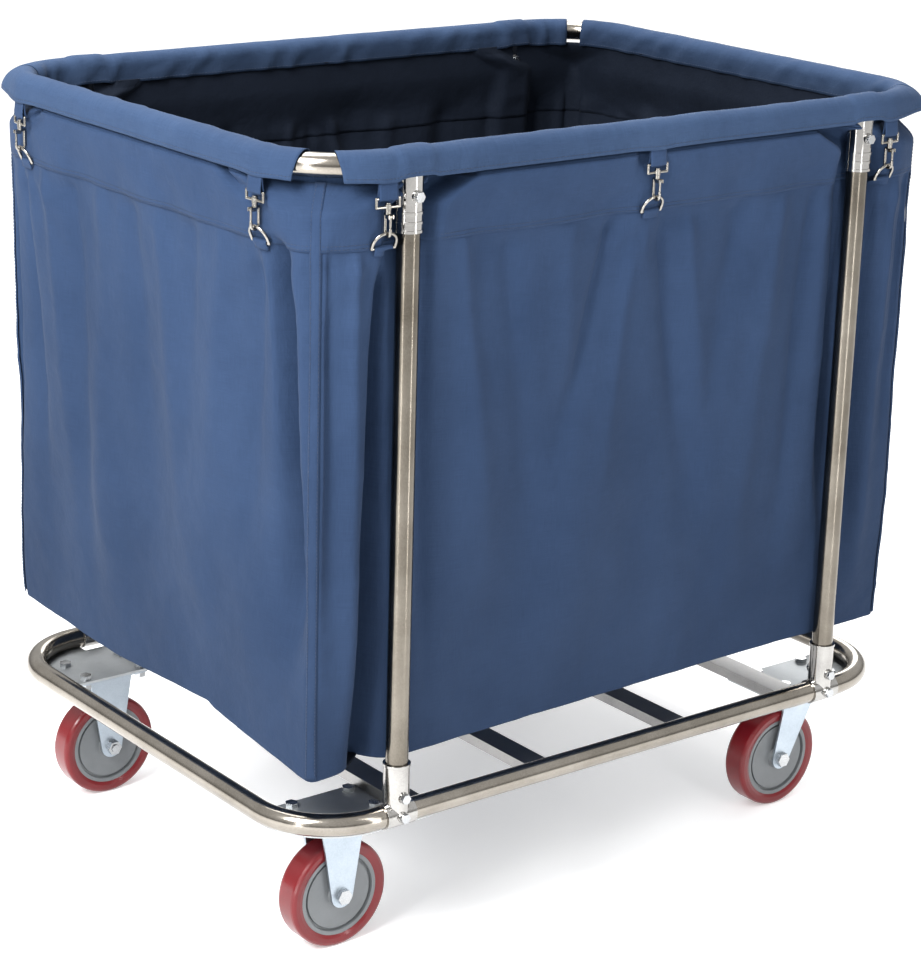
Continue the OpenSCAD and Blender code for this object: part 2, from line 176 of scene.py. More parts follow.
class Hook:
    """A hook's place on the rim: along the rail, outwards and up."""

    def __init__(self, joint):
        self.name = joint["name"].replace("_gate_hinge", "")
        self.along = Vector(joint["axis"]).normalized()
        self.out = Vector((self.along.y, -self.along.x, 0))
        place = Vector(joint["pos_m"]) - self.out * HOOK_OUT
        self.origin = Vector((place.x, place.y, 0))
        degrees, half, _, centre = SIDES[self.name.split("_")[0]]
        turn = math.radians(degrees)
        t = place.x * math.cos(turn) + place.y * math.sin(turn)
        self.u = centre + t
        # Its place on a flap, whose corners are the ring's bends
        over = max(0.0, abs(t) - half + BEND)
        way = min(abs(t), half - BEND) + BEND * math.asin(over / BEND) / math.radians(45)
        self.flap_u = centre + math.copysign(way, t)

    def point(self, x, n, z):
        return self.origin + self.along * x + self.out * n + Vector((0, 0, z))


HOOKS = [Hook(joint) for joint in frame["joints"] if joint["name"].endswith("_gate_hinge")]
POSTS_U = [place + sign * POST_X for place in (0, 2 * QUARTER) for sign in (-1, 1)]


# ---------- camera, lights, floor ----------
def make_camera():
    yaw, pitch, roll = math.radians(38.05), math.radians(17.73), math.radians(-1.66)
    forward = Vector((math.sin(yaw) * math.cos(pitch), math.cos(yaw) * math.cos(pitch), -math.sin(pitch)))
    level = Vector((math.cos(yaw), -math.sin(yaw), 0))
    down = forward.cross(level)
    right = level * math.cos(roll) + down * math.sin(roll)
    up = level * math.sin(roll) - down * math.cos(roll)
    data = bpy.data.cameras.new("camera")
    data.lens = 100.4
    data.sensor_width = 36
    data.dof.use_dof = False
    camera = bpy.data.objects.new("camera", data)
    bpy.context.scene.collection.objects.link(camera)
    turn = Matrix((right, up, -forward)).transposed().to_4x4()
    camera.matrix_world = Matrix.Translation((-1.9025, -2.4411, 1.3999)) @ turn
    bpy.context.scene.camera = camera


def area_light(name, place, target, size, power):
    data = bpy.data.lights.new(name, "AREA")
    data.shape = "RECTANGLE"
    data.size, data.size_y = size
    data.energy = power
    light = bpy.data.objects.new(name, data)
    bpy.context.scene.collection.objects.link(light)
    light.location = place
    light.visible_camera = False
    light.rotation_euler = (Vector(target) - Vector(place)).to_track_quat("-Z", "Y").to_euler()


def make_studio():
    middle = (0, 0, 0.55)
    area_light("key", (-2.3, -0.75, 2.5), middle, (1.3, 1.5), 142)
    area_light("top", (0.2, 0.9, 3.0), middle, (2.0, 1.6), 74)
    area_light("back", (2.6, 2.2, 1.9), middle, (1.2, 1.8), 30)
    area_light("right_strip", (0.12, -1.34, 0.9), (-0.32, -0.32, 0.9), (0.05, 1.75), 5)
    area_light("left_strip", (-1.55, -0.75, 0.9), (-0.4, -0.3, 0.9), (0.07, 1.75), 6)
    world = bpy.data.worlds.new("studio")
    bpy.context.scene.world = world
    world.use_nodes = True
    tree = world.node_tree
    spot = node(tree, "TexCoord")
    split = node(tree, "SeparateXYZ", {"Vector": spot.outputs["Generated"]})
    ramp = node(tree, "ValToRGB", {"Fac": split.outputs["Z"]})
    ramp.color_ramp.elements[0].position = 0.05
    ramp.color_ramp.elements[0].color = (0.32, 0.31, 0.30, 1)
    ramp.color_ramp.elements[1].position = 0.35
    ramp.color_ramp.elements[1].color = (1, 1, 1, 1)
    background = tree.nodes["Background"]
    tree.links.new(ramp.outputs["Color"], background.inputs["Color"])
    background.inputs["Strength"].default_value = 0.9
    bpy.context.scene.view_settings.view_transform = "Standard"


def make_floor():
    size = 30
    corners = [(-size, -size, 0), (size, -size, 0), (size, size, 0), (-size, size, 0)]
    mesh = bpy.data.meshes.new("floor")
    mesh.from_pydata(corners, [], [(0, 1, 2, 3)])
    floor = bpy.data.objects.new("floor", mesh)
    bpy.context.scene.collection.objects.link(floor)
    floor.data.materials.append(floor_paint())


# ---------- materials ----------
def node(tree, kind, inputs=None, **settings):
    """Adds a shader node; inputs are numbers, colours or the sockets to link from."""
    made = tree.nodes.new("ShaderNode" + kind)
    for key, value in settings.items():
        setattr(made, key, value)
    for key, value in (inputs or {}).items():
        if isinstance(value, bpy.types.NodeSocket):
            tree.links.new(value, made.inputs[key])
        else:
            made.inputs[key].default_value = value
    return made


def new_material(name, **settings):
    """A material whose shader has these values on its own sockets; an underscore stands for a space."""
    made = bpy.data.materials.new(name)
    made.use_nodes = True
    shader = made.node_tree.nodes["Principled BSDF"]
    for key, value in settings.items():
        socket = shader.inputs[key.replace("_", " ")]
        socket.default_value = (*value, 1) if isinstance(value, tuple) else value
    return made, made.node_tree, shader


def colour_between(tree, factor, dark, light):
    ramp = node(tree, "ValToRGB", {"Fac": factor})
    ramp.color_ramp.elements[0].color = (*dark, 1)
    ramp.color_ramp.elements[1].color = (*light, 1)
    return ramp.outputs["Color"]


def number_between(tree, factor, low, high):
    made = node(tree, "MapRange", {"Value": factor, "To Min": low, "To Max": high})
    return made.outputs["Result"]


def texture_noise(tree, vector, scale, detail=3.0, roughness=0.5):
    inputs = {"Vector": vector, "Scale": scale, "Detail": detail, "Roughness": roughness}
    return node(tree, "TexNoise", inputs).outputs["Fac"]


def stretched(tree, vector, factors):
    return node(tree, "Mapping", {"Vector": vector, "Scale": factors}).outputs["Vector"]


def floor_paint():
    made, tree, shader = new_material(
        "floor_paint", Roughness=0.9, Specular_IOR_Level=0.1,
        Emission_Color=(1.0, 1.0, 1.0), Emission_Strength=0.34,
    )
    place = node(tree, "TexCoord").outputs["Object"]
    tint = colour_between(tree, texture_noise(tree, place, 0.6), (0.86, 0.86, 0.86), (0.9, 0.9, 0.9))
    tree.links.new(tint, shader.inputs["Base Color"])
    return made


def oxford_cloth(name, dark, light, sheen=0.03, gloss=0.1, inner=1.0):
    """Coated plain-weave polyester: threads, slubs along both ways, soft crumples and uneven dye. Its colour
    is darker towards the cart's foot and lighter at the top: painted shade and painted light for light falling
    from above. inner dims the part of a flap that hangs inside the ring: painted shade for the dark inside."""
    made, tree, shader = new_material(
        name, Specular_IOR_Level=gloss, Sheen_Weight=sheen, Sheen_Roughness=0.45, Sheen_Tint=(0.7, 0.8, 1.0)
    )
    thread = 0.55 * MM
    flat = node(tree, "UVMap", uv_map="cloth").outputs["UV"]
    place = node(tree, "TexCoord").outputs["Object"]
    warp = texture_noise(tree, stretched(tree, flat, (1 / thread, 40, 1)), 1.0, 1.0)
    weft = texture_noise(tree, stretched(tree, flat, (40, 1 / thread, 1)), 1.0, 1.0)
    slubs = node(tree, "Math", {0: warp, 1: weft}, operation="ADD").outputs[0]
    cells = node(
        tree, "TexChecker",
        {"Vector": flat, "Color1": (1, 1, 1, 1), "Color2": (0, 0, 0, 1), "Scale": 1 / thread},
    ).outputs["Fac"]
    threads = node(tree, "Math", {0: cells, 1: 0.3, 2: slubs}, operation="MULTIPLY_ADD").outputs[0]
    dye = texture_noise(tree, place, 5.0, 4.0, 0.6)
    both = node(tree, "Math", {0: slubs, 1: 0.5, 2: dye}, operation="MULTIPLY_ADD").outputs[0]
    shade = node(tree, "MapRange", {"Value": both, "From Min": 0.7, "From Max": 1.3}).outputs["Result"]
    # Painted shade and painted light: the colour is scaled from 0.76 near the foot up to 1.1 at the top
    height = node(tree, "SeparateXYZ", {"Vector": place}).outputs["Z"]
    painted_height_shade = node(
        tree, "MapRange",
        {"Value": height, "From Min": 0.25, "From Max": 0.9, "To Min": 0.76, "To Max": 1.1},
    ).outputs["Result"]
    # Painted shade: the part of a flap inside the ring is dimmed by inner, for the dark inside of the bag
    way = node(tree, "SeparateXYZ", {"Vector": flat}).outputs["Y"]
    inside = node(
        tree, "MapRange",
        {"Value": way, "From Min": -32 * MM, "From Max": -4 * MM, "To Min": inner, "To Max": 1.0},
    ).outputs["Result"]
    painted_shading = node(tree, "Math", {0: painted_height_shade, 1: inside}, operation="MULTIPLY").outputs[0]
    dye_colour = colour_between(tree, shade, dark, light)
    dyed = node(tree, "VectorMath", {0: dye_colour, "Scale": painted_shading}, operation="SCALE")
    tree.links.new(dyed.outputs["Vector"], shader.inputs["Base Color"])
    tree.links.new(number_between(tree, slubs, 0.6, 0.78), shader.inputs["Roughness"])
    crumple = texture_noise(tree, place, 38.0, 5.0, 0.62)
    creased = node(tree, "Bump", {"Height": crumple, "Strength": 0.75, "Distance": 2.4 * MM})
    woven = node(
        tree, "Bump",
        {"Height": threads, "Strength": 0.5, "Distance": 0.12 * MM, "Normal": creased.outputs["Normal"]},
    )
    tree.links.new(woven.outputs["Normal"], shader.inputs["Normal"])
    return made


def thread_material():
    made, tree, shader = new_material("polyester_thread", Roughness=0.6, Sheen_Weight=0.03)
    place = node(tree, "TexCoord").outputs["Object"]
    twist = texture_noise(tree, place, 900.0, 2.0)
    colour = colour_between(tree, twist, (0.008, 0.016, 0.038), (0.016, 0.032, 0.07))
    tree.links.new(colour, shader.inputs["Base Color"])
    return made


def metal(name, dark, light, rough, edge=0.5 * MM):
    """Metal with cloudy polish, fine scratches and edges worn a little brighter."""
    made, tree, shader = new_material(name, Metallic=1.0)
    place = node(tree, "TexCoord").outputs["Object"]
    cloud = texture_noise(tree, place, 14.0, 4.0, 0.6)
    lines = texture_noise(tree, stretched(tree, place, (60, 60, 60)), 12.0, 3.0, 0.65)
    both = node(tree, "Math", {0: lines, 1: 0.6, 2: cloud}, operation="MULTIPLY_ADD").outputs[0]
    shade = node(tree, "MapRange", {"Value": both, "From Min": 0.5, "From Max": 1.1}).outputs["Result"]
    base = colour_between(tree, shade, dark, light)
    soft = node(tree, "Bevel", {"Radius": edge}, samples=4).outputs["Normal"]
    sharp = node(tree, "NewGeometry").outputs["Normal"]
    turned = node(tree, "VectorMath", {0: soft, 1: sharp}, operation="DOT_PRODUCT").outputs["Value"]
    worn = node(tree, "MapRange", {"Value": turned, "From Min": 0.995, "From Max": 0.9, "To Max": 0.5})
    bright = tuple(min(1.0, 1.15 * value) for value in light)
    mixed = node(
        tree, "Mix", {"Factor": worn.outputs["Result"], "A": base, "B": (*bright, 1)}, data_type="RGBA"
    ).outputs["Result"]
    tree.links.new(mixed, shader.inputs["Base Color"])
    tree.links.new(number_between(tree, both, *rough), shader.inputs["Roughness"])
    dents = node(tree, "Bump", {"Height": both, "Strength": 0.15, "Distance": 0.25 * MM, "Normal": soft})
    tree.links.new(dents.outputs["Normal"], shader.inputs["Normal"])
    return made


def moulded(name, dark, light, rough, **settings):
    """Moulded plastic or polyurethane with uneven colour, a fine skin grain and scuffs."""
    made, tree, shader = new_material(name, **settings)
    place = node(tree, "TexCoord").outputs["Object"]
    cloud = texture_noise(tree, place, 30.0, 5.0, 0.6)
    tree.links.new(colour_between(tree, cloud, dark, light), shader.inputs["Base Color"])
    fine = texture_noise(tree, place, 220.0, 3.0, 0.6)
    tree.links.new(number_between(tree, cloud, *rough), shader.inputs["Roughness"])
    soft = node(tree, "Bevel", {"Radius": 0.8 * MM}, samples=4).outputs["Normal"]
    skin = node(tree, "Bump", {"Height": fine, "Strength": 0.25, "Distance": 0.2 * MM, "Normal": soft})
    tree.links.new(skin.outputs["Normal"], shader.inputs["Normal"])
    return made


def make_materials():
    steel = metal("steel", (0.20, 0.18, 0.15), (0.38, 0.35, 0.31), (0.1, 0.2))
    # Painted reflection: the posts are the ring's own polished steel, made darker to stand for the dark
    # surroundings that they reflect
    posts = metal("post_steel", (0.09, 0.078, 0.062), (0.22, 0.20, 0.17), (0.12, 0.22))
    bars = metal("bar_steel", (0.22, 0.22, 0.22), (0.40, 0.39, 0.38), (0.22, 0.36))
    plates = metal("zinc_sheet", (0.40, 0.42, 0.43), (0.60, 0.62, 0.63), (0.45, 0.6))
    forks = metal("blue_zinc", (0.32, 0.37, 0.42), (0.50, 0.56, 0.62), (0.25, 0.4))
    chrome = metal("chrome", (0.26, 0.25, 0.24), (0.50, 0.49, 0.47), (0.06, 0.14))
    bolts = metal("bright_bolts", (0.32, 0.33, 0.34), (0.55, 0.56, 0.57), (0.14, 0.28))
    nickel = metal("nickel", (0.20, 0.19, 0.17), (0.42, 0.40, 0.37), (0.1, 0.2), edge=0.25 * MM)
    red = moulded(
        "red_polyurethane", (0.095, 0.004, 0.006), (0.19, 0.007, 0.011), (0.22, 0.4),
        Coat_Weight=0.22, Coat_Roughness=0.12, Specular_IOR_Level=0.35,
    )
    grey = moulded("grey_nylon", (0.10, 0.11, 0.115), (0.18, 0.19, 0.20), (0.35, 0.5))
    return {
        "steel_tube": steel, "post": posts, "crossbar_steel": bars, "zinc_plate": plates,
        "zinc_fork": forks, "chrome_fitting": chrome, "fastener": bolts, "hook_metal": nickel,
        "red_tread": red, "grey_hub": grey,
    }


def dress_frame():
    """Gives each CAD node that still shows its material, by the record's slot."""
    made = make_materials()
    for part in frame["record"]["subparts"]:
        # The posts take the darker copy of the steel, a painted reflection
        slot = "post" if part["node"].endswith("_post") else part["material_slot"]
        finish = made.get(slot)
        if finish:
            mesh = frame["nodes"][part["node"]].data
            mesh.materials.clear()
            mesh.materials.append(finish)


# ---------- building cloth ----------
def grid_mesh(name, points, flat, closed=False, centre=None):
    """A sheet from rows of points. flat is each point's place on the flat cloth, in metres. A closed
    sheet's rows run right round, and its last row may be gathered to a centre."""
    rows, cols = points.shape[:2]
    verts = points.reshape(-1, 3).tolist()
    faces, corners = [], []
    last = cols if closed else cols - 1
    for i in range(rows - 1):
        for j in range(last):
            k = (j + 1) % cols
            faces.append((i * cols + j, i * cols + k, (i + 1) * cols + k, (i + 1) * cols + j))
            right = flat[i, j] + (flat[i, 1] - flat[i, 0]) if k == 0 else flat[i, k]
            below = flat[i + 1, j] + (flat[i + 1, 1] - flat[i + 1, 0]) if k == 0 else flat[i + 1, k]
            corners.extend([flat[i, j], right, below, flat[i + 1, j]])
    if centre is not None:
        verts.append(list(centre))
        for j in range(cols):
            k = (j + 1) % cols
            faces.append(((rows - 1) * cols + j, (rows - 1) * cols + k, len(verts) - 1))
            corners.extend([flat[-1, j], flat[-1, k], flat[-1, j]])
    mesh = bpy.data.meshes.new(name)
    mesh.from_pydata(verts, [], faces)
    layer = mesh.uv_layers.new(name="cloth")
    layer.data.foreach_set("uv", np.array(corners, np.float32).ravel())
    mesh.polygons.foreach_set("use_smooth", [True] * len(faces))
    made = bpy.data.objects.new(name, mesh)
    bpy.context.scene.collection.objects.link(made)
    return made


def thicken(obj, thickness, side, inner_slot=0, rim_slot=0):
    """Gives a sheet its thickness; side -1 grows it inwards, 0 both ways and 1 outwards."""
    solid = obj.modifiers.new("thickness", "SOLIDIFY")
    solid.thickness = thickness
    solid.offset = side
    solid.use_even_offset = False
    solid.material_offset = inner_slot
    solid.material_offset_rim = rim_slot


def finish_cloth(obj, materials):
    for finish in materials:
        obj.data.materials.append(finish)
    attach(obj, "cart")


# ---------- the bag's wall ----------
# Folds: side, place along it, top and bottom height, width, depth, lean (all in mm).
# A minus depth is a valley. Lean is how far the fold's foot is along the side from its head.
FOLDS = [
    ("left", 263, 806, 380, 18, -48, 8), ("left", 292, 800, 380, 14, 9, 4),
    ("left", 226, 796, 420, 22, -10, -44), ("left", 246, 790, 520, 10, 8, 2),
    ("left", 165, 800, 360, 30, 7, -60), ("left", 105, 800, 420, 26, -7, -46),
    ("left", 40, 790, 380, 26, 6, 30), ("left", -20, 800, 330, 30, -7, 26),
    ("left", -85, 800, 330, 34, 7, -24), ("left", -150, 796, 300, 24, -8, 20),
    ("left", -200, 800, 400, 20, 7, 38), ("left", -262, 806, 450, 13, -11, 26),
    ("left", -298, 800, 420, 11, -9, -8),
    ("front", -412, 806, 380, 11, -12, 12), ("front", -384, 800, 260, 13, 11, 6),
    ("front", -346, 806, 110, 14, -40, -2),
    ("front", -292, 800, 330, 12, -10, 14), ("front", -250, 804, 420, 20, 8, 60),
    ("front", -190, 796, 380, 26, -8, 70), ("front", -110, 800, 300, 30, 6, 50),
    ("front", -44, 796, 540, 14, -9, -60), ("front", -14, 780, 470, 15, 6, -30),
    ("front", 22, 796, 500, 15, -9, 64), ("front", 62, 790, 420, 20, 7, 70),
    ("front", 140, 800, 380, 28, -7, -50), ("front", 205, 796, 330, 26, 8, -40),
    ("front", 262, 800, 350, 16, -8, -26), ("front", 304, 806, 400, 10, -24, 12),
    ("front", 352, 800, 330, 10, -14, 4), ("front", 384, 800, 300, 13, 10, -8),
    ("front", 410, 806, 460, 10, -11, -8),
    ("right", -285, 806, 470, 12, -16, -20), ("right", -238, 800, 480, 16, 9, 30),
    ("right", -170, 800, 420, 24, -8, 44), ("right", -90, 800, 380, 30, 7, 20),
    ("right", 0, 796, 420, 32, -7, -18), ("right", 90, 800, 400, 28, 7, -30),
    ("right", 175, 800, 400, 24, -8, -12), ("right", 240, 800, 450, 16, -10, -24),
    ("right", 292, 800, 420, 12, -9, 12),
    ("rear", -408, 806, 440, 11, -11, 8), ("rear", -372, 800, 360, 14, 9, 6),
    ("rear", -298, 800, 380, 12, -9, 16), ("rear", -210, 800, 360, 30, 8, 44),
    ("rear", -120, 796, 400, 28, -7, 40), ("rear", -34, 796, 520, 15, -9, -50),
    ("rear", 30, 796, 560, 15, -9, 48), ("rear", 120, 800, 420, 30, 7, -30),
    ("rear", 205, 800, 380, 28, -8, -46), ("rear", 298, 800, 430, 12, -9, -10),
    ("rear", 372, 800, 380, 14, 9, -6), ("rear", 404, 806, 420, 12, -11, -8),
]
# The wall's plain shape from its foot to its head: height, and offset from the rails, in mm
PROFILE = [
    (236, -14.0), (300, -11.5), (500, -7.0), (700, -3.0), (790, 2.0), (815, 7.0), (840, 10.8),
    (858, 12.3), (866, 12.8), (869.5, 12.0), (872, 8.0), (873.2, 0.0), (873.8, -10.0),
]
# How far the bag's foot hangs above its lowest corner, at each side's start corner (mm)
FOOT_LIFT = {"front": -8, "right": 10, "rear": 17, "left": 18}
# Where the left side's foot is tucked up: place along the side, and lift (mm)
TUCK = [(-90, 0), (30, 12), (110, 19), (124, 15), (290, 0)]


def wall_corner(z):
    """Corner radius of the wall's outline at the rails: the ring's at the head, a sewn corner below it."""
    return FOOT_CORNER + (BEND - FOOT_CORNER) * smooth(z, RING_Z - 50 * MM, WALL_TOP)


def foot_height(u):
    """Height of the bag's bottom edge, which the load pulls down unevenly."""
    corners = [place - along for _, along, _, place in SIDES.values()]
    lifts = [FOOT_LIFT[side] * MM for side in SIDES]
    hang = np.interp(u % ROUND, corners + [ROUND + corners[0]], lifts + [lifts[0]], period=ROUND)
    places, rises = np.array(TUCK, float).T * MM
    tuck = np.interp(along_rim(u, SIDES["left"][3]), places, rises)
    return BAG_Z + tuck + hang


def fold(across, width):
    """Section of a fold: rounder than a crease, sharper than a wave."""
    return 1 / (1 + (across / width) ** 2) ** 1.5


def plain_shape(u, z):
    """The wall without its folds: its profile, a little further in between the posts, and long waves."""
    heights, offsets = np.array(PROFILE).T * MM
    n = np.interp(z, heights, offsets) + 0 * u
    below = smooth(z, RING_Z - 28 * MM, RING_Z - 70 * MM)
    for centre in (0, 2 * QUARTER):
        between = smooth(POST_X + 10 * MM - np.abs(along_rim(u, centre)), 0, 70 * MM)
        n = n - 4 * MM * between * below
    waves = np.zeros_like(n)
    for count, size, drift, phase in ((11, 2.0, 2.2, 0.3), (19, 1.8, -3.1, 1.9), (33, 1.1, 4.3, 4.0)):
        waves += size * MM * np.sin(2 * math.pi * count * u / ROUND + drift * z * 3 + phase)
    return n + waves * below * smooth(z, BAG_Z - 20 * MM, BAG_Z + 160 * MM)


def folds_and_gathers(u, z):
    """Depth of the folds, and of the fine gathers that start under the band."""
    depths = 0
    for side, t, head, foot, width, depth, lean in FOLDS:
        down = np.clip((head * MM - z) / ((head - foot) * MM), 0, 1)
        away = along_rim(u, SIDES[side][3] + (t + lean * down) * MM)
        strength = smooth(z, foot * MM - 60 * MM, foot * MM + 130 * MM)
        strength = strength * smooth(z, head * MM + 12 * MM, head * MM - 14 * MM)
        depths = depths + depth * MM * strength * fold(away, width * MM * (0.6 + 0.9 * down))
    gathers = np.maximum(0, np.sin(u / 0.0137 + 3 * np.sin(u / 0.083))) ** 3
    under_band = smooth(z, BAND_Z - 75 * MM, BAND_Z - 6 * MM) * smooth(z, BAND_Z + 1 * MM, BAND_Z - 3 * MM)
    return depths - 1.5 * MM * gathers * under_band


def pulled_by_hook(hook, u, z, n):
    """The offset n where a hook pulls at the wall through its D-ring, with pleats that fan out below."""
    away = along_rim(u, hook.u)
    rise = z - (D_BAR_Z - 5 * MM)
    pull = bump(np.hypot(away, rise * 0.8), 24 * MM)
    n = n + pull * (D_BAR_OUT - 2.6 * MM - n)
    spoke = np.arctan2(away, np.maximum(-rise, 1 * MM))
    reach = np.hypot(away, rise)
    n = n + 2.4 * MM * np.cos(6 * spoke) * bump(reach - 50 * MM, 48 * MM) * smooth(-rise, 0, 25 * MM)
    # Room behind the hook, and a hollow under the hem beside its tab
    behind = bump(away, 17 * MM) * smooth(z, D_BAR_Z - 2 * MM, D_BAR_Z + 16 * MM)
    behind = behind * smooth(z, WALL_TOP, RING_Z - 40 * MM)
    n = n + np.minimum(0, 4.5 * MM - n) * behind
    return n - 13 * MM * bump(away + 19 * MM, 9 * MM) * bump(z - HEM_Z + 6 * MM, 11 * MM)


def wall_offset(u, z):
    """How far the wall stands outside the rails' centreline, at place u round the rim and height z."""
    n = plain_shape(u, z) + folds_and_gathers(u, z)
    for hook in HOOKS:
        n = pulled_by_hook(hook, u, z, n)
    # The wall keeps inside the corners' seams, and behind the posts, their tees and the tees' bolts
    for _, along, _, place in SIDES.values():
        near = bump(along_rim(u, place + along), 42 * MM)
        n = n + np.minimum(0, -10 * MM - n) * near
    for post in POSTS_U:
        near = smooth(np.abs(along_rim(u, post)), 40 * MM, 17 * MM)
        tee = 1.8 * MM * smooth(z, RING_Z - 95 * MM, RING_Z - 78 * MM)
        tee = tee + 4.6 * MM * bump(along_rim(u, post), 14 * MM) * bump(z - TEE_BOLT_Z, 16 * MM)
        n = n + np.minimum(0, -(TUBE_R + 2.3 * MM) - tee - n) * near
    return n


def wall_points(cols, z, lift=0.0, seam=False):
    """The wall's outer surface at each row height z and column, lifted outwards by lift. A corner seam
    keeps its width where the corner widens."""
    z = np.asarray(z, float).reshape(-1, 1)
    u = np.broadcast_to(cols.u, (len(z), len(cols.u)))
    # Heights near the foot rise with the bag's bottom edge
    z = z + (foot_height(cols.u) - BAG_Z) * smooth(z, BAG_Z + 330 * MM, BAG_Z)
    n = wall_offset(u, z) + lift
    turn = cols.a
    if seam:
        bend = math.radians(45) * np.sign(turn)
        turn = bend + (turn - bend) * FOOT_CORNER / (wall_corner(z) + wall_offset(u, z))
    points = cols.at(wall_corner(z), n, z, turn)
    ripple = 1.8 * MM * rough(points, 75 * MM, 3.0) + 0.6 * MM * rough(points, 22 * MM, 7.0)
    # Creases left from packing: thin ridges where smooth noise crosses nought
    creases = np.exp(-((rough(points * np.array([1, 1, 0.7]), 90 * MM, 17.0) / 0.05) ** 2))
    ripple = ripple + 1.1 * MM * creases * (0.4 + 0.6 * rough(points, 130 * MM, 23.0))
    outward = cols.at(wall_corner(z), n + 1 * MM, z, turn) - points
    calm = smooth(z, WALL_TOP, WALL_TOP - 20 * MM)
    return points + outward / MM * (ripple * calm)[..., None]


def cloth_map(cols, ways):
    """Each grid point's place on the flat cloth: round the rim, and the way up it."""
    return np.stack(np.broadcast_arrays(cols.u[None, :], np.asarray(ways)[:, None]), axis=-1)


def bag_shell(outside, lining):
    """The bag: one lofted shell of wall and floor, with its lining as its inner face."""
    cols = wall_columns()
    head = WALL_TOP - np.array([0, 0.8, 1.8, 3.2, 5, 7.5, 10.5, 14]) * MM
    middle_rows = spread(BAG_Z + 9 * MM, head[-1] - 4 * MM, 5.5 * MM)[::-1]
    foot = BAG_Z + np.array([6, 3.5, 1.8]) * MM
    heights = np.concatenate([head, middle_rows, foot])
    wall = wall_points(cols, heights)
    shares = np.linspace(0.994, 0.03, 34)[:, None, None]
    floor = wall[-1] * shares * np.array([1, 1, 0])
    rim = foot_height(cols.u)
    middle = BAG_Z + 6 * MM - FLOOR_SAG
    share = shares[..., 0] ** 2
    dips = 1.6 * MM * (1 - share ** 2) * rough(floor, 120 * MM, 11.0)
    floor[..., 2] = 1.5 * MM + rim * share + middle * (1 - share) - dips
    flat = cloth_map(cols, np.concatenate([heights, BAG_Z - 12 * MM * np.arange(len(shares))]))
    points = np.concatenate([wall, floor])
    made = grid_mesh(
        "bag_shell_cloth", points[:, ::-1], flat[:, ::-1], closed=True, centre=(0, 0, middle + 1.5 * MM)
    )
    thicken(made, 1.4 * MM, -1, inner_slot=1, rim_slot=1)
    finish_cloth(made, [outside, lining])
    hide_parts("bag_shell")


def lining_collar(lining):
    """The head of the lining, from the flaps' inner seam out to the wall."""
    cols = wall_columns()
    heights = spread(COLLAR_Z, RING_Z - INNER_LEG + 4 * MM, 4 * MM)[::-1]
    wall = wall_points(cols, heights, -1.5 * MM)
    rows = heights[:, None]
    # Behind the flaps' inner edge, but inside the tees and their bolts
    tees = near_posts(cols.u, SADDLE / 2 + 12 * MM, 10 * MM)
    bolts = sum(bump(along_rim(cols.u, post), 20 * MM) for post in POSTS_U)
    bolts = bolts * bump(rows - TEE_BOLT_Z, 14 * MM)
    inner = -13.4 * MM - 3.2 * MM * tees - 5 * MM * bolts
    behind_wall = wall_offset(cols.u + 0 * rows, rows) - 2.5 * MM
    inner = np.minimum(inner, np.where(rows < RING_Z - 22 * MM, behind_wall, 0))
    seam = cols.at(wall_corner(rows), inner, rows)
    share = smooth(heights, COLLAR_Z, RING_Z - 45 * MM)[:, None, None]
    points = wall + (seam - wall) * share
    made = grid_mesh("lining_collar", points[:, ::-1], cloth_map(cols, heights)[:, ::-1], closed=True)
    thicken(made, 0.6 * MM, -1)
    finish_cloth(made, [lining])


def bag_band(outside):
    """The doubled strip round the bag's head that carries the D-ring tabs."""
    cols = wall_columns()
    heights = spread(BAND_Z, WALL_TOP - 6 * MM, 3.5 * MM)[::-1]
    points = wall_points(cols, heights, 0.3 * MM)
    made = grid_mesh("bag_band", points[:, ::-1], cloth_map(cols, heights)[:, ::-1], closed=True)
    thicken(made, 0.9 * MM, 1)
    finish_cloth(made, [outside])


# ---------- rim flaps ----------
# Where each flap ends in its two corners, in degrees of the bend, and whether that end stands off
# the ring as a lapel
FLAP_ENDS = {
    "front": ((36, False), (43.5, True)), "right": ((43.5, True), (38, False)),
    "rear": ((38, False), (43.5, True)), "left": ((43.5, True), (36, False)),
}
# The way over the ring from its top to a flap's outer and inner edge
FLAP_OUTER = FLAP_R * math.pi / 2 + RING_Z - HEM_Z
FLAP_INNER = FLAP_R * math.pi / 2 + INNER_LEG


def flap_columns(side):
    _, along, _, place = SIDES[side]
    start, end = [along - BEND + BEND * reach / 45 for reach, _ in FLAP_ENDS[side]]
    return Columns(place + spread(-start, end, 5 * MM), BEND)


def lapel_share(cols, side):
    """0 where a flap lies round the ring and 1 at an end that stands off it."""
    degrees = np.degrees(cols.a)
    share = np.zeros_like(degrees)
    for sign, (reach, lapel) in zip((-1, 1), FLAP_ENDS[side]):
        if lapel:
            share += smooth(sign * degrees, 14, reach)
    return share


def cut_back(cols, side, s):
    """Turn of each point in a bend. A flap's end is cut slanting, so the bare ring shows wider below."""
    back = np.zeros_like(cols.a)
    for sign, (reach, lapel) in zip((-1, 1), FLAP_ENDS[side]):
        if not lapel:
            back += smooth(sign * np.degrees(cols.a), 10, reach)
    return cols.a * (1 - 0.16 * back * smooth(s, -10 * MM, 44 * MM))


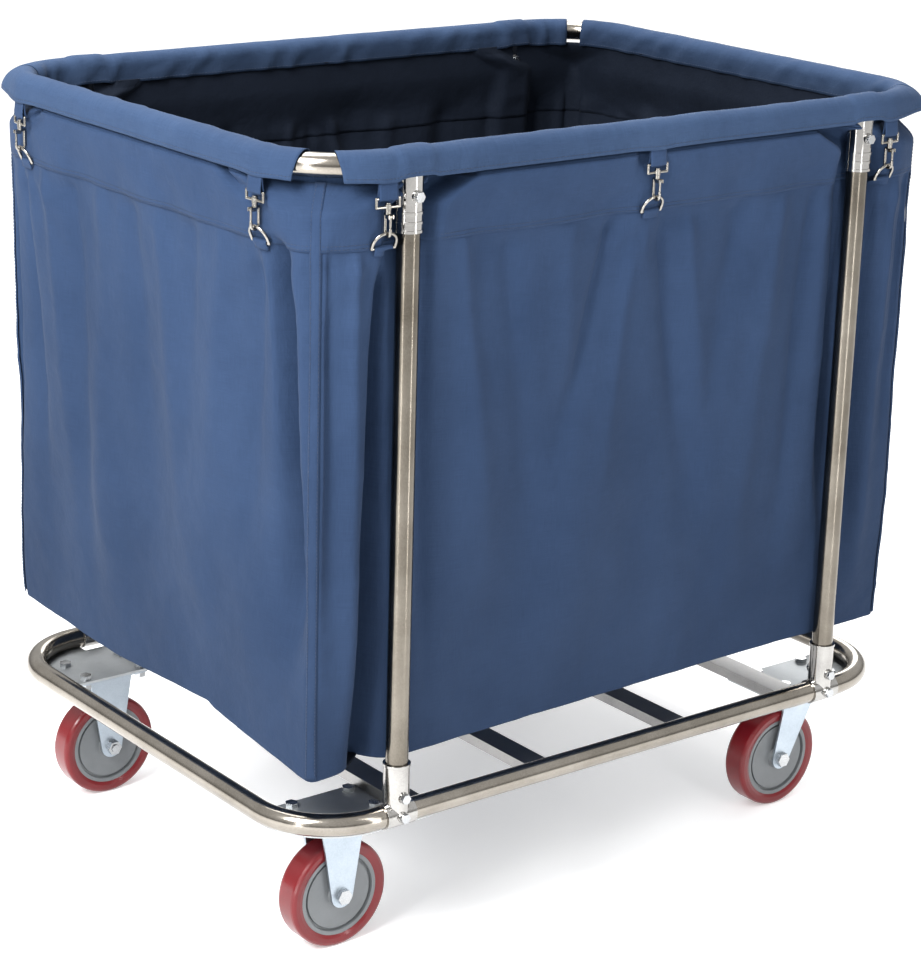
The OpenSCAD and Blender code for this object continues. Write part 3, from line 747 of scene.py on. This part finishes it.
def flap_points(cols, side, s, lift=0.0):
    """A flap's middle surface. s is the way over the ring from its top: minus inside, plus outside."""
    s = np.asarray(s, float).reshape(-1, 1)
    over_tee = near_posts(cols.u, SADDLE / 2 + 5 * MM, 6 * MM)
    radius = FLAP_R + 1.7 * MM * over_tee + 0.4 * MM
    angle = np.clip(s / radius, -math.pi / 2, math.pi / 2)
    leg = np.clip(np.abs(s) - radius * math.pi / 2, 0, None)
    inner = s < 0
    lapel = lapel_share(cols, side)
    hooks = sum(bump(along_rim(cols.u, hook.flap_u), 20 * MM) for hook in HOOKS)
    n = radius * np.sin(angle) + np.where(inner, -(0.115 + 0.2 * over_tee) * leg, 0.05 * leg * (1 - hooks))
    z = RING_Z + radius * np.cos(angle) - leg
    outer_leg = smooth(s, 14 * MM, 40 * MM)
    n = n + (7 * lapel + 7 * lapel ** 4) * MM * smooth(s, -4 * MM, 36 * MM) + 1.7 * MM * hooks * outer_leg
    z = z + 4 * MM * lapel * outer_leg - 1.5 * MM * hooks * outer_leg
    turn = cut_back(cols, side, s)
    place = cols.at(BEND, n, z, turn)
    outward = cols.at(BEND, n + 1 * MM, z, turn) - place
    normal = outward / MM * np.sin(angle)[..., None]
    normal[..., 2] += np.cos(angle)
    soft = rough(place, 34 * MM, 21.0)
    fine = rough(place * np.array([1, 1, 0.6]), 13 * MM, 5.0)
    hem = np.sin(cols.u / 0.031 + 2 * np.sin(cols.u / 0.11))
    ripple = (0.9 * soft + 0.5 * fine) * MM + 0.6 * MM * hem * outer_leg
    # Slanting rolls where the slack cloth twists round the ring's inner side
    roll = np.sin(cols.u / 0.0085 + s / 0.011 + 4 * rough(place, 60 * MM, 14.0))
    roll = roll * (0.5 + rough(place, 45 * MM, 9.0))
    crinkle = 2.6 * MM * roll + 1.8 * MM * np.abs(rough(place, 17 * MM, 2.0))
    ripple = ripple + crinkle * smooth(s, 4 * MM, -12 * MM)
    ripple = np.maximum(ripple, -0.3 * MM) * (0.5 + 0.5 * smooth(np.abs(s), 4 * MM, 24 * MM))
    return place + normal * (ripple + lift)[..., None]


def rim_flap(side, outside):
    cols = flap_columns(side)
    s = spread(-FLAP_INNER, FLAP_OUTER, 3 * MM)
    points = flap_points(cols, side, s)
    made = grid_mesh(f"rim_flap_{side}", points, cloth_map(cols, s))
    thicken(made, CLOTH, 0)
    finish_cloth(made, [outside])
    return made


def rim_flaps(outside):
    made = [rim_flap(side, outside) for side in SIDES]
    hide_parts("rim_flaps")


# ---------- tabs ----------
def ribbon(name, rows, step, outside):
    """A narrow sheet from rows of points, each row across its width, step apart on the flat cloth."""
    rows = np.array(rows)
    way = np.arange(len(rows)) * step
    across = np.linalg.norm(rows[0] - rows[0][:1], axis=-1)
    flat = np.stack(np.broadcast_arrays(across[None, :], way[:, None]), axis=-1)
    made = grid_mesh(name, rows, flat)
    thicken(made, 0.8 * MM, 0)
    finish_cloth(made, [outside])
    return made


def strap_tab(hook, outside):
    """A folded tab: from behind the hem down round the hook's eye, and back up behind the hem."""
    bar = EYE_BAR_Z / MM
    path = [(14.4, bar + 22), (14.8, bar + 15), (15.4, bar + 9), (16.2, bar + 5)]
    path += [(14 + 2.1 * math.cos(a), bar + 2.1 * math.sin(a)) for a in np.radians(np.linspace(0, -180, 9))]
    path += [(12.4, bar + 4), (13.0, bar + 9), (13.4, bar + 15), (13.3, bar + 22)]
    xs = np.linspace(-11, 11, 9)
    rows = []
    for n, z in path:
        crumple = 0.25 * math.sin(z * 0.9)
        outs = n + crumple * np.cos(xs / 6) - 0.003 * xs * xs
        rows.append([tuple(hook.point(x * MM, out * MM, z * MM)) for x, out in zip(xs, outs)])
    return ribbon(f"strap_tab_{hook.name}", rows, 3 * MM, outside)


def d_ring_tab(hook, outside):
    """A folded tab: sewn on the band and up round the D-ring's straight bar."""
    xs = np.linspace(-10.6, 10.6, 9) * MM
    cols = Columns(hook.u + xs, FOOT_CORNER)
    radius = D_BAR_R + 0.55 * MM
    foot_z = D_BAR_Z - 8 * MM
    under, over = [wall_points(cols, [foot_z, foot_z + 3 * MM], lift) for lift in (1.9 * MM, 3.0 * MM)]
    loop = []
    for a in np.radians(np.linspace(200, -20, 11)):
        n, z = D_BAR_OUT + radius * math.cos(a), D_BAR_Z + radius * math.sin(a)
        loop.append([tuple(hook.point(x, n, z)) for x in xs])
    rows = [*under, *np.array(loop), over[1], over[0]]
    return ribbon(f"d_ring_tab_{hook.name}", rows, 2.5 * MM, outside)


def tabs(outside):
    straps = [strap_tab(hook, outside) for hook in HOOKS]
    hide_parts("hook_straps")
    loops = [d_ring_tab(hook, outside) for hook in HOOKS]
    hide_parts("d_ring_tabs")


# ---------- seams and stitching ----------
def corner_seams(outside):
    """The felled seam down each corner of the bag, a narrow doubled strip."""
    for number, (_, along, _, place) in enumerate(SIDES.values()):
        across = np.linspace(-1, 1, 9)
        cols = Columns(place + along + 7 * MM * across, FOOT_CORNER)
        heights = spread(BAG_Z + 5 * MM, WALL_TOP - 5 * MM, 4 * MM)[::-1]
        points = wall_points(cols, heights, 0.9 * MM + 0.9 * MM * (1 - across ** 6), True)
        made = grid_mesh(f"corner_seam_{number}", points[:, ::-1], cloth_map(cols, heights)[:, ::-1])
        thicken(made, 0.6 * MM, 1)
        finish_cloth(made, [outside])


class Thread:
    """Collects stitches and makes one mesh of them."""

    def __init__(self):
        self.verts, self.faces = [], []

    def row(self, points, normals, pitch=4.2 * MM, length=3.1 * MM, radius=0.32 * MM):
        points, normals = np.asarray(points), np.asarray(normals)
        steps = np.linalg.norm(np.diff(points, axis=0), axis=1)
        way = np.concatenate([[0], np.cumsum(steps)])
        for start in np.arange(pitch / 2, way[-1] - length, pitch):
            head = np.array([np.interp(start, way, points[:, k]) for k in range(3)])
            foot = np.array([np.interp(start + length, way, points[:, k]) for k in range(3)])
            up = np.array([np.interp(start, way, normals[:, k]) for k in range(3)])
            self.stitch(head, foot, up / max(np.linalg.norm(up), 1e-9), radius)

    def stitch(self, start, end, up, radius):
        forward = end - start
        side = np.cross(forward, up)
        side = side / max(np.linalg.norm(side), 1e-9) * radius
        first = len(self.verts)
        for share, size in ((0.0, 0.35), (0.3, 1.0), (0.7, 1.0), (1.0, 0.35)):
            middle = start + forward * share + up * radius * (0.5 * size - 0.3)
            for across, above in ((1, 0), (0, 1), (-1, 0), (0, -1)):
                self.verts.append(tuple(middle + side * across * size + up * radius * above * size))
        for ring in range(3):
            for k in range(4):
                a, b = first + ring * 4 + k, first + ring * 4 + (k + 1) % 4
                self.faces.append((a, b, b + 4, a + 4))
        self.faces.append(tuple(first + k for k in (3, 2, 1, 0)))
        self.faces.append(tuple(first + 12 + k for k in range(4)))

    def make(self, name, finish):
        mesh = bpy.data.meshes.new(name)
        mesh.from_pydata(self.verts, [], self.faces)
        mesh.polygons.foreach_set("use_smooth", [True] * len(mesh.polygons))
        made = bpy.data.objects.new(name, mesh)
        bpy.context.scene.collection.objects.link(made)
        finish_cloth(made, [finish])


def surface_row(place, lift):
    """A row of points at a lift, and the way outwards there. place(lift) gives the points."""
    points = place(lift)
    return points, (place(lift + 1 * MM) - points) / MM


def stitching(finish):
    thread = Thread()
    closed = np.append(whole_rim(5 * MM, 2.2 * MM), ROUND - SIDES["front"][1])
    rim = Columns(closed % ROUND, FOOT_CORNER)
    for z in (BAND_Z + 2.5 * MM, BAND_Z + 6.5 * MM):
        thread.row(*surface_row(lambda lift: wall_points(rim, [z], lift)[0], 1.3 * MM))
    for _, along, _, place in SIDES.values():
        for away in (-5, 5):
            cols = Columns([place + along + away * MM], FOOT_CORNER)
            heights = spread(BAG_Z + 8 * MM, WALL_TOP - 7 * MM, 5 * MM)
            thread.row(*surface_row(lambda lift: wall_points(cols, heights, lift, True)[:, 0], 2.5 * MM))
    for side in SIDES:
        cols = flap_columns(side)
        for s in (FLAP_OUTER - 4 * MM, 3 * MM - FLAP_INNER):
            thread.row(*surface_row(lambda lift: flap_points(cols, side, [s], lift)[0], 0.55 * MM))
    thread.make("stitching", finish)


def make_all():
    make_camera()
    make_studio()
    make_floor()
    dress_frame()
    outside = oxford_cloth("blue_oxford", (0.016, 0.032, 0.072), (0.028, 0.051, 0.107))
    # Painted light: the flaps are the bag's own cloth made about a quarter lighter where they catch the light over
    # the ring, and inner=0.5 paints shade on their part inside the ring
    flap_cloth_painted_light = oxford_cloth("flap_oxford", (0.020, 0.038, 0.081), (0.035, 0.062, 0.122), inner=0.5)
    lining = oxford_cloth(
        "dark_lining", (0.0035, 0.006, 0.012), (0.008, 0.012, 0.022), sheen=0.02, gloss=0.12
    )
    bag_shell(outside, lining)
    lining_collar(lining)
    bag_band(outside)
    rim_flaps(flap_cloth_painted_light)
    tabs(outside)
    corner_seams(outside)
    stitching(thread_material())


make_all()
